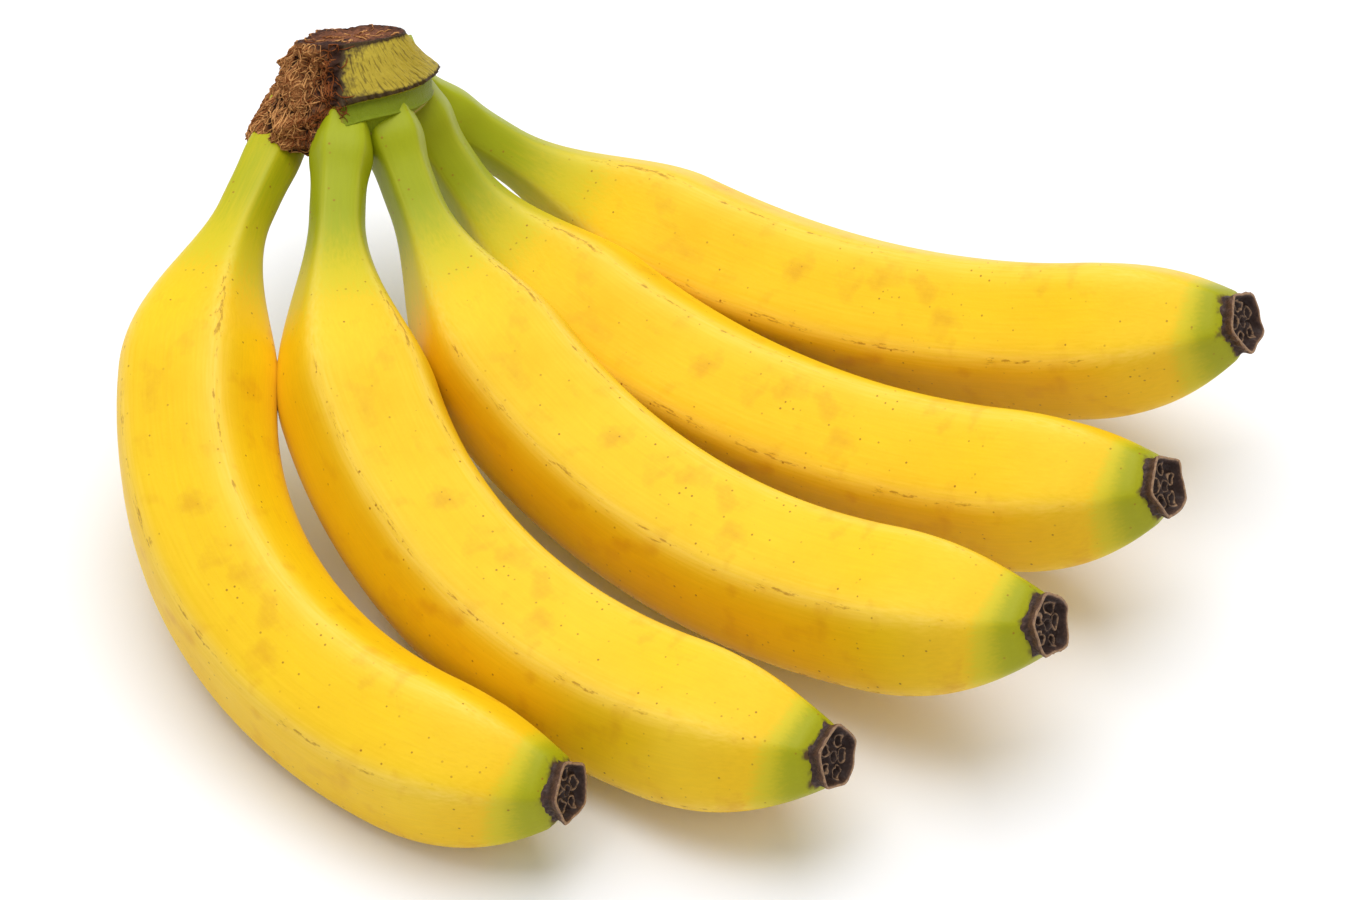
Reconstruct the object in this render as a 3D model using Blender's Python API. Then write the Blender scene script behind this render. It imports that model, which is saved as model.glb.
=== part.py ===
"""Bunch of five bananas on one cut crown, lying convex side down on a surface.

Frame: metres, +Z up, +X towards the flower ends, -Y towards the front finger.
The bunch rests on the plane z = 0, on small flats under the fingers.
Lengths in this file are in millimetres and are scaled to metres by MM.
"""
import math

import bmesh
import bpy
from mathutils import Vector

MM = 0.001

# Each finger: "root" is where its neck leaves the crown; "length" is measured along its middle;
# "bearings" are the directions it takes at the crown, neck, belly, far belly and tip, each as a
# heading (anticlockwise from +X, seen from above) and a slope (up from level), in degrees; "roll" turns
# its five-sided section about its middle line; "pinch" is how much thinner its neck is at the crown.
FINGERS = {
    "banana_1": {
        "root": (-90, 72, 56),
        "length": 217,
        "bearings": [(-106, -4), (-120, -19), (-62, -26), (-31, 4), (-24, 15)],
        "roll": 31.0,
        "pinch": 0.0,
    },
    "banana_2": {
        "root": (-75, 66, 66),
        "length": 218,
        "bearings": [(-96, -21), (-91, -25), (-45, -25), (-30, 10), (-30, 20)],
        "roll": 49.0,
        "pinch": 0.24,
    },
    "banana_3": {
        "root": (-67, 73, 65),
        "length": 220,
        "bearings": [(-72, -34), (-63, -26), (-39, -12), (-28, 17), (-28, 25)],
        "roll": 40.0,
        "pinch": 0.24,
    },
    "banana_4": {
        "root": (-62, 85, 59),
        "length": 220,
        "bearings": [(-41, -62), (-48, -20), (-30, 0), (-27, 15), (-24, 30)],
        "roll": 26.0,
        "pinch": 0.24,
    },
    "banana_5": {
        "root": (-59, 94, 48),
        "length": 213,
        "bearings": [(6, -50), (-31, -16), (-30, 3), (-17, 20), (-22, 30)],
        "roll": 22.0,
        "pinch": 0.24,
    },
}
SHIFT = Vector((-4.1, 3.3, -0.7))   # sets the bunch over the origin, with its flats on z = 0

# Crown: oval sections stacked from the necks up to the cut face. The long axis of each points along
# its own heading, and its front side, over the necks, is raised by CROWN_TILT.
CROWN_BASE = Vector((-77, 79, 54))
CROWN_TOP = Vector((-74, 82, 77))
CROWN_TILT = 28.0
CROWN_SECTIONS = [                  # (part of the way up, half length, half width, heading)
    (0.0, 27, 21, 34), (0.2, 27, 21, 32), (0.45, 23, 18, 26), (0.78, 18, 13, 14), (1.0, 14, 9, 8),
]
CROWN_SIDES = 8
CROWN_SMOOTHING = 2                 # subdivision levels
CUT_CREASE = 0.8                    # sharpness of the rim of the cut face

GAP = 0.3                           # clearance between neighbouring pieces
SOCKET_RINGS = 8                    # how many of a neck's rings its socket in the crown follows

# Flower end: a short dark five-sided stub with a raised rim round a sunken middle.
STUB_SIDES = 15
STUB_PROFILE = [                    # (distance along, radius), over the rim and into the middle
    (0.0, 6.3), (1.4, 6.9), (3.2, 6.7), (4.2, 6.0), (4.0, 5.0), (2.9, 4.2),
]

# Girth of a finger along its length.
BODY_RADIUS = 17.2
NECK_RADIUS = 6.1
NECK_LENGTH = 25.0
SHOULDER_LENGTH = 45.0
PINCH_LENGTH = 5.0                  # how far a pinch at the crown reaches down a neck
TIP_RADIUS = 7.2
TIP_LENGTH = 38.0
TIP_POWER = 2.1

# Five-sided section: flat radius and ridge radius, as parts of the mean radius.
RIDGES = 5
FLAT_RADIUS = 0.99
RIDGE_RADIUS = 1.085
ROUNDING = 9.0                      # higher is crisper

SIDES = 20                          # points around a finger, four to a flat
RINGS = 38                          # rings along a finger
END_EASE = 0.07                     # how much closer the rings lie at the two ends
CURVE_STEPS = 240                   # steps along a centre line

# Linear colours and roughness of the three materials, and the angle that stays sharp in shading.
SKIN_COLOUR = (0.87, 0.58, 0.02)
SKIN_ROUGHNESS = 0.45
STUB_COLOUR = (0.035, 0.02, 0.015)
CROWN_COLOUR = (0.22, 0.1, 0.035)
DRY_ROUGHNESS = 0.85
SHARP_ANGLE = 40.0


def smooth_step(value):
    """Ease from 0 to 1."""
    value = min(max(value, 0.0), 1.0)
    return value * value * (3.0 - 2.0 * value)


def spline_point(points, t):
    """Blend of the given points at t, from 0 to 1, on their clamped cubic B-spline."""
    last = len(points) - 3
    knots = [0.0] * 3 + [i / last for i in range(last + 1)] + [1.0] * 3
    span = min(int(t * last), last - 1) + 3
    work = [Vector(points[span - 3 + i]) for i in range(4)]
    for level in range(1, 4):
        for i in range(3, level - 1, -1):
            low = knots[span - 3 + i]
            high = knots[span + 1 + i - level]
            work[i] = work[i - 1].lerp(work[i], (t - low) / (high - low))
    return work[3]


def finger_radius(from_crown, from_tip, pinch):
    """Mean radius of a finger, by the distances to its two ends."""
    shoulder = smooth_step((from_crown - NECK_LENGTH) / SHOULDER_LENGTH)
    radius = NECK_RADIUS + (BODY_RADIUS - NECK_RADIUS) * shoulder
    radius *= 1.0 - pinch * math.exp(-from_crown / PINCH_LENGTH)
    taper = 1.0 - (1.0 - min(from_tip / TIP_LENGTH, 1.0)) ** TIP_POWER
    return radius * (TIP_RADIUS + (BODY_RADIUS - TIP_RADIUS) * taper) / BODY_RADIUS


def section(angle):
    """Radius of the rounded five-sided section at an angle, for a mean radius of 1."""
    step = math.tau / RIDGES
    off = (angle + step / 2.0) % step - step / 2.0
    flat = FLAT_RADIUS / math.cos(step / 2.0 - abs(off))
    return (flat ** -ROUNDING + RIDGE_RADIUS ** -ROUNDING) ** (-1.0 / ROUNDING)


def direction(heading, slope):
    """Unit vector with a heading and a slope in degrees."""
    heading = math.radians(heading)
    slope = math.radians(slope)
    level = math.cos(slope)
    return Vector((level * math.cos(heading), level * math.sin(heading), math.sin(slope)))


def centre_line(shape):
    """Points along a finger's centre line, evenly spaced from the crown to the tip."""
    step = shape["length"] / CURVE_STEPS
    line = [Vector(shape["root"]) + SHIFT]
    for i in range(CURVE_STEPS):
        heading, slope = spline_point(shape["bearings"], (i + 0.5) / CURVE_STEPS)
        line.append(line[-1] + direction(heading, slope) * step)
    return line


def frames(line):
    """Direction, side and up vectors at each point, carried along the line without twisting."""
    count = len(line)
    along = []
    for i in range(count):
        step = line[min(i + 1, count - 1)] - line[max(i - 1, 0)]
        along.append(step.normalized())
    ups = [None] * count
    middle = count // 2
    ups[middle] = (Vector((0, 0, 1)) - along[middle] * along[middle].z).normalized()
    for i in range(middle + 1, count):
        ups[i] = (ups[i - 1] - along[i] * along[i].dot(ups[i - 1])).normalized()
    for i in range(middle - 1, -1, -1):
        ups[i] = (ups[i + 1] - along[i] * along[i].dot(ups[i + 1])).normalized()
    return [(a, a.cross(u), u) for a, u in zip(along, ups)]


def loft(name, rings):
    """Closed solid through rings of points, with a flat cap at each end."""
    mesh_data = bpy.data.meshes.new(name)
    mesh = bmesh.new()
    loops = [[mesh.verts.new(point * MM) for point in ring] for ring in rings]
    for lower, upper in zip(loops, loops[1:]):
        for i, corner in enumerate(lower):
            after = (i + 1) % len(lower)
            mesh.faces.new((corner, lower[after], upper[after], upper[i]))
    mesh.faces.new(list(reversed(loops[0])))
    mesh.faces.new(loops[-1])
    bmesh.ops.recalc_face_normals(mesh, faces=mesh.faces)
    mesh.to_mesh(mesh_data)
    mesh.free()
    obj = bpy.data.objects.new(name, mesh_data)
    bpy.context.collection.objects.link(obj)
    return obj


def finger_rings(shape, grow=0.0):
    """Rings of points along a finger."""
    line = centre_line(shape)
    axes = frames(line)
    total = shape["length"]
    roll = math.radians(shape["roll"])
    rings = []
    for r in range(RINGS):
        u = r / (RINGS - 1)
        i = round(CURVE_STEPS * (u - END_EASE * math.sin(math.tau * u)))
        distance = total * i / CURVE_STEPS
        radius = finger_radius(distance, total - distance, shape["pinch"]) + grow
        _, side, up = axes[i]
        ring = []
        for k in range(SIDES):
            angle = math.tau * k / SIDES
            reach = radius * section(angle)
            ring.append(line[i] + side * reach * math.cos(angle + roll)
                        + up * reach * math.sin(angle + roll))
        rings.append(ring)
    return rings


def flower_end_rings(shape):
    """Rings of points of the stub beyond a finger's tip."""
    line = centre_line(shape)
    along, side, up = frames(line)[-1]
    start = line[-1] + along * GAP
    roll = math.radians(shape["roll"])
    rings = []
    for distance, radius in STUB_PROFILE:
        ring = []
        for k in range(STUB_SIDES):
            angle = math.tau * k / STUB_SIDES
            reach = radius * section(angle)
            ring.append(start + along * distance + side * reach * math.cos(angle + roll)
                        + up * reach * math.sin(angle + roll))
        rings.append(ring)
    return rings


def rest_flat(obj):
    """Cut a finger off at z = 0, where it lies on the surface."""
    mesh = bmesh.new()
    mesh.from_mesh(obj.data)
    everything = mesh.verts[:] + mesh.edges[:] + mesh.faces[:]
    cut = bmesh.ops.bisect_plane(mesh, geom=everything, dist=1e-7, plane_co=(0, 0, 0),
                                 plane_no=(0, 0, 1), clear_inner=True)
    rim = [item for item in cut["geom_cut"] if isinstance(item, bmesh.types.BMEdge)]
    if rim:
        bmesh.ops.edgeloop_fill(mesh, edges=rim)
    bmesh.ops.recalc_face_normals(mesh, faces=mesh.faces)
    mesh.to_mesh(obj.data)
    mesh.free()


def crown_body():
    """Crown before its sockets are cut."""
    rings = []
    for rise, half_length, half_width, heading in CROWN_SECTIONS:
        long_axis = direction(heading, 0.0)
        short_axis = direction(heading - 90.0, CROWN_TILT)
        centre = CROWN_BASE.lerp(CROWN_TOP, rise) + SHIFT
        ring = []
        for k in range(CROWN_SIDES):
            angle = math.tau * (k + 0.5) / CROWN_SIDES
            ring.append(centre + long_axis * half_length * math.cos(angle)
                        + short_axis * half_width * math.sin(angle))
        rings.append(ring)
    crown = loft("crown", rings)
    mesh = bmesh.new()
    mesh.from_mesh(crown.data)
    crease = mesh.edges.layers.float.new("crease_edge")
    top = max(mesh.faces, key=lambda face: face.calc_center_median().z if len(face.verts) > 4 else -1.0)
    for edge in top.edges:
        edge[crease] = CUT_CREASE
    mesh.to_mesh(crown.data)
    mesh.free()
    smooth = crown.modifiers.new("rounding", "SUBSURF")
    smooth.levels = CROWN_SMOOTHING
    smooth.render_levels = CROWN_SMOOTHING
    return crown


def cut_sockets(crown):
    """Sink a socket into the crown for each neck, GAP clear of it all round."""
    for name, shape in FINGERS.items():
        rings = finger_rings(shape, grow=GAP)[:SOCKET_RINGS]
        along = frames(centre_line(shape))[0][0]
        rings[0] = [point - along * GAP for point in rings[0]]
        cutter = loft(name + "_socket_cutter", rings)
        cutter.hide_render = True
        cutter.display_type = "WIRE"
        cut = crown.modifiers.new(name + "_socket", "BOOLEAN")
        cut.operation = "DIFFERENCE"
        cut.solver = "EXACT"
        cut.object = cutter


def finish(obj, colour, roughness):
    """Shade a piece smooth and give it its own material."""
    material = bpy.data.materials.new(obj.name)
    material.use_nodes = True
    shader = material.node_tree.nodes["Principled BSDF"]
    shader.inputs["Base Color"].default_value = (*colour, 1.0)
    shader.inputs["Roughness"].default_value = roughness
    shader.inputs["Metallic"].default_value = 0.0
    obj.data.materials.append(material)
    obj.data.shade_smooth()
    obj.data.set_sharp_from_angle(angle=math.radians(SHARP_ANGLE))


def clear_scene():
    """Remove every object that the file opened with."""
    for old in list(bpy.data.objects):
        bpy.data.objects.remove(old, do_unlink=True)


def main():
    """Build the fingers with their flower ends, then the crown that holds them."""
    clear_scene()
    for name, shape in FINGERS.items():
        finger = loft(name, finger_rings(shape))
        rest_flat(finger)
        finish(finger, SKIN_COLOUR, SKIN_ROUGHNESS)
        stub = loft(name + "_flower_end", flower_end_rings(shape))
        finish(stub, STUB_COLOUR, DRY_ROUGHNESS)
    crown = crown_body()
    cut_sockets(crown)
    finish(crown, CROWN_COLOUR, DRY_ROUGHNESS)


main()
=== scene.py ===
"""Looks of the bunch of bananas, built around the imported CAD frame.

Lengths in this file are in millimetres, in the CAD frame, and are scaled to metres by MM.
The fingers repeat the driving dimensions of the CAD part, and each one is set on its CAD node's box.
"""

import math
import random

import bpy
from bpy.props import FloatProperty, FloatVectorProperty, IntProperty, PointerProperty
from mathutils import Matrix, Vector, noise


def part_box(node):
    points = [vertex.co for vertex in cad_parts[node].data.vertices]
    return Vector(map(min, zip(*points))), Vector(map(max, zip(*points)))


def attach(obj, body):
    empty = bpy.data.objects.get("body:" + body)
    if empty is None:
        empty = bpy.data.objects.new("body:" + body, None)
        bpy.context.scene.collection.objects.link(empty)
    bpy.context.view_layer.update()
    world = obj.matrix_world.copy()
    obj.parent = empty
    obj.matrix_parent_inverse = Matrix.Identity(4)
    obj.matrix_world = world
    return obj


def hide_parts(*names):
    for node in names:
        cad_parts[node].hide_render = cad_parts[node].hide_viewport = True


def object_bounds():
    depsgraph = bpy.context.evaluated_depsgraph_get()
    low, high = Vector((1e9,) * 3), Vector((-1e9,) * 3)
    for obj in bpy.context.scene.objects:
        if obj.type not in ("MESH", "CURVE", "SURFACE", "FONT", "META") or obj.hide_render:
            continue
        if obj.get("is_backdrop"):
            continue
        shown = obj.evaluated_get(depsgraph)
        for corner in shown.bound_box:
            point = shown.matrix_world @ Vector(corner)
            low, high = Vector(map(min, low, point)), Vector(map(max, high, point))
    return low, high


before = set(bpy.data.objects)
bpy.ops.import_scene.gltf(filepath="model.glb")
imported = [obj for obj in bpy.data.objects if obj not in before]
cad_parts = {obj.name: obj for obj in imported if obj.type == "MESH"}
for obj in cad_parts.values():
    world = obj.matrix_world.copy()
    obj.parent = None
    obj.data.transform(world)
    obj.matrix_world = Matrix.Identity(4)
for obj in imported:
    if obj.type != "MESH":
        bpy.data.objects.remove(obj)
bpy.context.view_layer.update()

bl_info = {
    "name": "Bunch of bananas",
    "version": (1, 0, 0),
    "blender": (4, 5, 0),
    "location": "View3D > Sidebar > Bananas",
    "description": "Builds the skins, flower ends, crown and studio of a bunch of bananas",
    "category": "Add Mesh",
}

MM = 0.001

# Driving dimensions of the fingers. "bearings" are (heading, slope) in degrees at the crown, neck, belly,
# far belly and tip. "roll" turns the five-sided section about the centre line, "pinch" is how much
# thinner the neck starts, "knuckle" how much of the swelling it has, and "neck_green" how green it is.
FINGERS = {
    "banana_1": {
        "root": (-90, 72, 56),
        "length": 217,
        "bearings": [(-106, -4), (-120, -19), (-62, -26), (-31, 4), (-24, 15)],
        "roll": 31.0,
        "pinch": 0.0,
        "knuckle": 0.3,
        "neck_green": 0.72,
    },
    "banana_2": {
        "root": (-75, 66, 66),
        "length": 218,
        "bearings": [(-96, -21), (-91, -25), (-45, -25), (-30, 10), (-30, 20)],
        "roll": 49.0,
        "pinch": 0.24,
        "knuckle": 1.0,
        "neck_green": 1.0,
    },
    "banana_3": {
        "root": (-67, 73, 65),
        "length": 220,
        "bearings": [(-72, -34), (-63, -26), (-39, -12), (-28, 17), (-28, 25)],
        "roll": 40.0,
        "pinch": 0.24,
        "knuckle": 1.0,
        "neck_green": 1.0,
    },
    "banana_4": {
        "root": (-62, 85, 59),
        "length": 220,
        "bearings": [(-41, -62), (-48, -20), (-30, 0), (-27, 15), (-24, 30)],
        "roll": 26.0,
        "pinch": 0.24,
        "knuckle": 1.0,
        "neck_green": 1.0,
    },
    "banana_5": {
        "root": (-59, 94, 48),
        "length": 213,
        "bearings": [(6, -50), (-31, -16), (-30, 3), (-17, 20), (-22, 30)],
        "roll": 22.0,
        "pinch": 0.24,
        "knuckle": 0.7,
        "neck_green": 0.9,
    },
}
PINCH_LENGTH = 5.0                  # how far the pinch and the swelling reach along a neck
KNUCKLE_PLACE = 9.0                 # how far below the crown a neck swells most
PINCH_KEPT = 0.4                    # part of the pinch that is left under the swollen necks
# Each neck runs on past its root, towards the crown, by NECK_REACH. The CAD's necks don't, and its
# banana_5 stops about 5 mm short of the crown.
NECK_REACH = 10.0
NECK_RINGS = 5
RIDGES = 5
CURVE_STEPS = 480
RING_EASE = 0.05                    # pulls the rings closer together at the two ends
BOX_STEP = 4                        # steps of the centre line between the points that set a finger's place
BOX_SIDES = 40
CAD_SECTION = (0.99, 1.085, 9.0)    # flats, ridges and crispness of the CAD's softer section

# How far the skin is green from the crown and from the tip. At the tip it reaches further on facets
# that face down, as painted shade.
NECK_GREEN_START = 16.0
NECK_GREEN_FADE = 52.0
TIP_GREEN = 17.0
TIP_GREEN_SHADE_REACH = 6.0

FLOOR_DROP = 0.1                    # how far the floor lies under the bunch
AIM = (-0.0041, 0.0033, 0.0243)     # where the camera looks: x and y from the middle, z from 0, in metres

# Crown: (part of the way up, half length, half width) of the side with skin and of the torn side.
CROWN_BASE = Vector((-0.4, -0.5, -10.2))    # from the middle of the crown's CAD box
CROWN_TOP = Vector((2.6, 2.5, 12.8))
CROWN_TILT = 28.0
CROWN_HEADINGS = [(0.0, 34), (0.2, 32), (0.45, 26), (0.78, 14), (1.0, 8)]
SKIN_SECTIONS = [
    (0.0, 21.4, 20.8), (0.03, 22.0, 21.6), (0.06, 21.4, 20.8), (0.25, 21.2, 17.9), (0.29, 22.4, 19.0),
    (0.35, 21.9, 18.5), (0.6, 17.6, 14.8), (0.8, 14.8, 11.9), (0.96, 12.4, 9.0), (1.0, 12.0, 8.5),
]
TORN_SECTIONS = [
    (0.0, 22.2, 17.6), (0.1, 22.6, 18.2), (0.3, 21.0, 17.2), (0.5, 17.6, 14.4), (0.8, 13.8, 11.0),
    (0.96, 11.8, 8.4), (1.0, 11.4, 8.0),
]
SKIN_FROM = -80.0                           # degrees round the crown where its skin begins
SKIN_TO = [(0.0, 122.0), (1.0, 104.0)]      # and where it ends, by how far up
CORNER_WIDTH = 12.0
RIM_LEVEL = 0.3                             # parts of the way up: the rim, the green band and the scar
BAND_LEVEL = 0.28
SCAR_LEVEL = 0.03
LUMPS_PER_MM = 0.16
MATTING_PER_MM = 0.75
RIM_CLIMB = 0.3                             # how much higher the rim is at the front corner
CROWN_GIRTH = 20.0                          # mean radius that the crown is unrolled with

FIBRE_SEED = 7
FIBRE_SIDES = 5
FIBRE_STEPS = 9
CUT_SHARE = 0.04                            # part of the fibres that lie on the cut face

# Ring cells of a dried flower end: (degrees round, part of the radius, radius in mm).
CELLS = [(20, 0.5, 1.5), (95, 0.56, 1.3), (165, 0.5, 1.55), (235, 0.58, 1.3), (305, 0.54, 1.25)]
MIDDLE_CELL = 1.3
FLOWER_SECTION = (0.94, 1.1, 22.0)  # flats, ridges and crispness of its outline


def linear(code):
    """Linear colour of an sRGB hex code."""
    parts = [int(code[i:i + 2], 16) / 255.0 for i in (1, 3, 5)]
    return tuple(c / 12.92 if c <= 0.04045 else ((c + 0.055) / 1.055) ** 2.4 for c in parts)


def colour(name, code, description):
    """Colour property with an sRGB hex default."""
    return FloatVectorProperty(name=name, description=description, subtype="COLOR", size=3,
                               min=0.0, max=1.0, default=linear(code))


def size(name, millimetres, description):
    """Length property in metres with its default in millimetres."""
    return FloatProperty(name=name, description=description, unit="LENGTH",
                         default=millimetres * MM)


class BananaSkinSettings(bpy.types.PropertyGroup):
    """Sizes and colours of the five fingers."""

    body_radius: size("Body radius", 17.2, "Mean radius of a finger at its belly")
    neck_radius: size("Neck radius", 6.1, "Mean radius of a neck")
    neck_length: size("Neck length", 25.0, "Length of the thin part of a neck")
    shoulder_length: size("Shoulder length", 45.0, "Length over which a neck widens to the belly")
    tip_radius: size("Tip radius", 7.2, "Radius where the flower end sits")
    tip_length: size("Tip length", 38.0, "Length over which the belly narrows to the tip")
    knuckle: size("Knuckle", 1.1, "How far a neck swells just below the crown")
    tip_power: FloatProperty(name="Tip power", description="Bluntness of the tip", default=2.1)
    flat: FloatProperty(name="Flat", description="Flats of the section, part of the mean radius",
                        default=0.975)
    ridge: FloatProperty(name="Ridge", description="Ridges of the section, part of the mean radius",
                         default=1.105)
    crispness: FloatProperty(name="Crispness", description="Sharpness of the ridges", default=24.0)
    rings: IntProperty(name="Rings", description="Rings of points along a finger", default=270)
    sides: IntProperty(name="Sides", description="Points round a finger", default=90)
    yellow: colour("Yellow", "#F3C812", "Ripe skin")
    deep_yellow: colour("Deep yellow", "#EBB80A", "Ripe skin where it is a little thinner")
    # Pale ridge: colour of a painted highlight along the ridges.
    pale: colour("Pale ridge", "#FFE283", "Worn skin along the ridges")
    lime: colour("Lime", "#D2C01C", "Skin that is turning")
    green: colour("Green", "#98A20A", "Unripe skin of the necks")
    olive_tip: colour("Olive tip", "#A0A00C", "Skin that is turning at the tips")
    speck: colour("Speck", "#9A6414", "Pores and rubbed marks")
    bruise: colour("Bruise", "#D08A14", "Skin that was pressed")
    smudge: colour("Smudge", "#54382C", "Dried sap round the flower end")


class FlowerEndSettings(bpy.types.PropertyGroup):
    """Sizes and colours of the dried flower ends."""

    radius: size("Radius", 6.7, "Radius of the rim")
    height: size("Height", 3.0, "How far the rim stands beyond the skin")
    depth: size("Depth", 2.1, "How far the middle is sunken")
    rings: IntProperty(name="Rings", description="Rings of points from side to middle", default=46)
    sides: IntProperty(name="Sides", description="Points round a flower end", default=110)
    # Dark: dried tissue, painted darker where the flower end is sunken, as shade.
    dark: colour("Dark", "#2F1B13", "Dried tissue in the hollows")
    brown: colour("Brown", "#6A4834", "Dried tissue on the sides")
    rim: colour("Rim", "#B08B68", "Papery edge of the rim and of the ring cells")


class CrownSettings(bpy.types.PropertyGroup):
    """Sizes and colours of the cut crown."""

    sides: IntProperty(name="Sides", description="Points round the crown", default=300)
    rings: IntProperty(name="Rings", description="Rings of points up the crown", default=110)
    cap_rings: IntProperty(name="Cap rings", description="Rings of points on an end", default=26)
    lump: size("Lump", 2.8, "Height of the lumps of the torn side")
    wrinkle: size("Wrinkle", 0.45, "Depth of the wrinkles of the skin side")
    fibres: IntProperty(name="Fibres", description="Loose fibres on the torn side", default=1100)
    fibre_radius: size("Fibre radius", 0.17, "Radius of a fibre at its middle")
    torn: colour("Torn", "#7E431B", "Torn stalk tissue")
    torn_light: colour("Torn light", "#D9A062", "Torn tissue that has dried pale")
    # Torn dark: painted shade in the recesses of the torn tissue's lumps.
    torn_shade: colour("Torn dark", "#26130C", "Hollows and edges of the torn tissue")
    cut: colour("Cut", "#8E5A3E", "Cut face of the stalk")
    olive: colour("Olive", "#BCA636", "Skin of the stalk")
    # Olive dark: painted shade in the wrinkles of the stalk's skin.
    olive_crease_shade: colour("Olive dark", "#6B5A1C", "Skin of the stalk in its wrinkles")
    edge: colour("Edge", "#33201C", "Dried edge of the stalk's skin")
    band: colour("Band", "#7C8A0C", "Green band over the necks")
    scar: colour("Scar", "#B79A5A", "Thin scar line where the necks begin")


class StudioSettings(bpy.types.PropertyGroup):
    """Floor, lights and camera."""

    floor_size: FloatProperty(name="Floor size", description="Side of the floor", unit="LENGTH",
                              default=8.0)
    floor: colour("Floor", "#F9FAFE", "Pale matt paper")
    key_power: FloatProperty(name="Key power", description="Power of the large lamp", unit="POWER",
                             default=18.6)
    key_side: FloatProperty(name="Key side", description="Side of the large lamp", unit="LENGTH",
                            default=1.5)
    key_place: FloatVectorProperty(name="Key place", description="Place of the large lamp", size=3,
                                   subtype="TRANSLATION", default=(-0.1, 0.3, 1.35))
    sky: FloatProperty(name="Sky", description="Strength of the even light all round", default=0.56)
    lens: FloatProperty(name="Lens", description="Focal length in millimetres", default=155.0)
    distance: FloatProperty(name="Distance", description="Camera to the middle", unit="LENGTH",
                            default=1.3)
    elevation: FloatProperty(name="Elevation", description="Height angle of the camera",
                             subtype="ANGLE", default=math.radians(45.0))


def smooth_step(value):
    """Ease from 0 to 1."""
    value = min(max(value, 0.0), 1.0)
    return value * value * (3.0 - 2.0 * value)


def bump_at(value, centre, width):
    """Rounded bump of height 1 round a centre."""
    return math.exp(-((value - centre) / width) ** 2)


def along_table(table, value):
    """Values of a table at a position between its rows."""
    for low, high in zip(table, table[1:]):
        if value <= high[0]:
            part = (value - low[0]) / (high[0] - low[0])
            return [a + (b - a) * part for a, b in zip(low[1:], high[1:])]
    return list(table[-1][1:])


def spline_point(points, t):
    """Blend of the given points at t, from 0 to 1, on their clamped cubic B-spline."""
    last = len(points) - 3
    knots = [0.0] * 3 + [i / last for i in range(last + 1)] + [1.0] * 3
    span = min(int(t * last), last - 1) + 3
    work = [Vector(points[span - 3 + i]) for i in range(4)]
    for level in range(1, 4):
        for i in range(3, level - 1, -1):
            low = knots[span - 3 + i]
            high = knots[span + 1 + i - level]
            work[i] = work[i - 1].lerp(work[i], (t - low) / (high - low))
    return work[3]


def direction(heading, slope):
    """Unit vector with a heading and a slope in degrees."""
    heading = math.radians(heading)
    slope = math.radians(slope)
    level = math.cos(slope)
    return Vector((level * math.cos(heading), level * math.sin(heading), math.sin(slope)))


def centre_line(shape):
    """Points along a finger's centre line, evenly spaced from the crown to the tip."""
    step = shape["length"] / CURVE_STEPS
    line = [Vector(shape["root"])]
    for i in range(CURVE_STEPS):
        heading, slope = spline_point(shape["bearings"], (i + 0.5) / CURVE_STEPS)
        line.append(line[-1] + direction(heading, slope) * step)
    return line


def frames(line):
    """Direction, side and up vectors at each point, carried along the line without twisting."""
    count = len(line)
    along = []
    for i in range(count):
        step = line[min(i + 1, count - 1)] - line[max(i - 1, 0)]
        along.append(step.normalized())
    ups = [None] * count
    middle = count // 2
    ups[middle] = (Vector((0, 0, 1)) - along[middle] * along[middle].z).normalized()
    for i in range(middle + 1, count):
        ups[i] = (ups[i - 1] - along[i] * along[i].dot(ups[i - 1])).normalized()
    for i in range(middle - 1, -1, -1):
        ups[i] = (ups[i + 1] - along[i] * along[i].dot(ups[i + 1])).normalized()
    return [(a, a.cross(u), u) for a, u in zip(along, ups)]


def around(centre, side, up, reach, angle):
    """Point at a reach and an angle round a centre."""
    return centre + side * reach * math.cos(angle) + up * reach * math.sin(angle)


def ridge_offset(angle):
    """Angle to the nearest ridge."""
    step = math.tau / RIDGES
    return (angle + step / 2.0) % step - step / 2.0


def section(angle, flat, ridge, crispness):
    """Radius of the rounded five-sided section at an angle, for a mean radius of 1."""
    side = flat / math.cos(math.pi / RIDGES - abs(ridge_offset(angle)))
    return (side ** -crispness + ridge ** -crispness) ** (-1.0 / crispness)


def finger_radius(settings, from_crown, from_tip, pinch):
    """Mean radius of a finger in millimetres, by the distances to its two ends."""
    body = settings.body_radius / MM
    neck = settings.neck_radius / MM
    tip = settings.tip_radius / MM
    shoulder = smooth_step((from_crown - settings.neck_length / MM) / (settings.shoulder_length / MM))
    radius = neck + (body - neck) * shoulder
    radius *= 1.0 - pinch * math.exp(-from_crown / PINCH_LENGTH)
    taper = 1.0 - (1.0 - min(from_tip / (settings.tip_length / MM), 1.0)) ** settings.tip_power
    return radius * (tip + (body - tip) * taper) / body


def node_offset(settings, name, shape):
    """Move that sets a finger's plain shape on the box of its CAD node."""
    line = centre_line(shape)
    axes = frames(line)
    roll = math.radians(shape["roll"])
    low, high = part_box(name)
    corners = [[math.inf, -math.inf] for _ in range(3)]
    for i in range(0, CURVE_STEPS + 1, BOX_STEP):
        distance = shape["length"] * i / CURVE_STEPS
        radius = finger_radius(settings, distance, shape["length"] - distance, shape["pinch"])
        _, side, up = axes[i]
        for k in range(BOX_SIDES):
            angle = math.tau * k / BOX_SIDES
            reach = radius * section(angle, *CAD_SECTION)
            point = around(line[i], side, up, reach, angle + roll)
            for axis in range(3):
                corners[axis][0] = min(corners[axis][0], point[axis])
                corners[axis][1] = max(corners[axis][1], point[axis])
    move = Vector([(low[a] + high[a]) / 2.0 / MM - sum(corners[a]) / 2.0 for a in range(3)])
    move.z = high.z / MM - corners[2][1]
    return move


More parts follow.
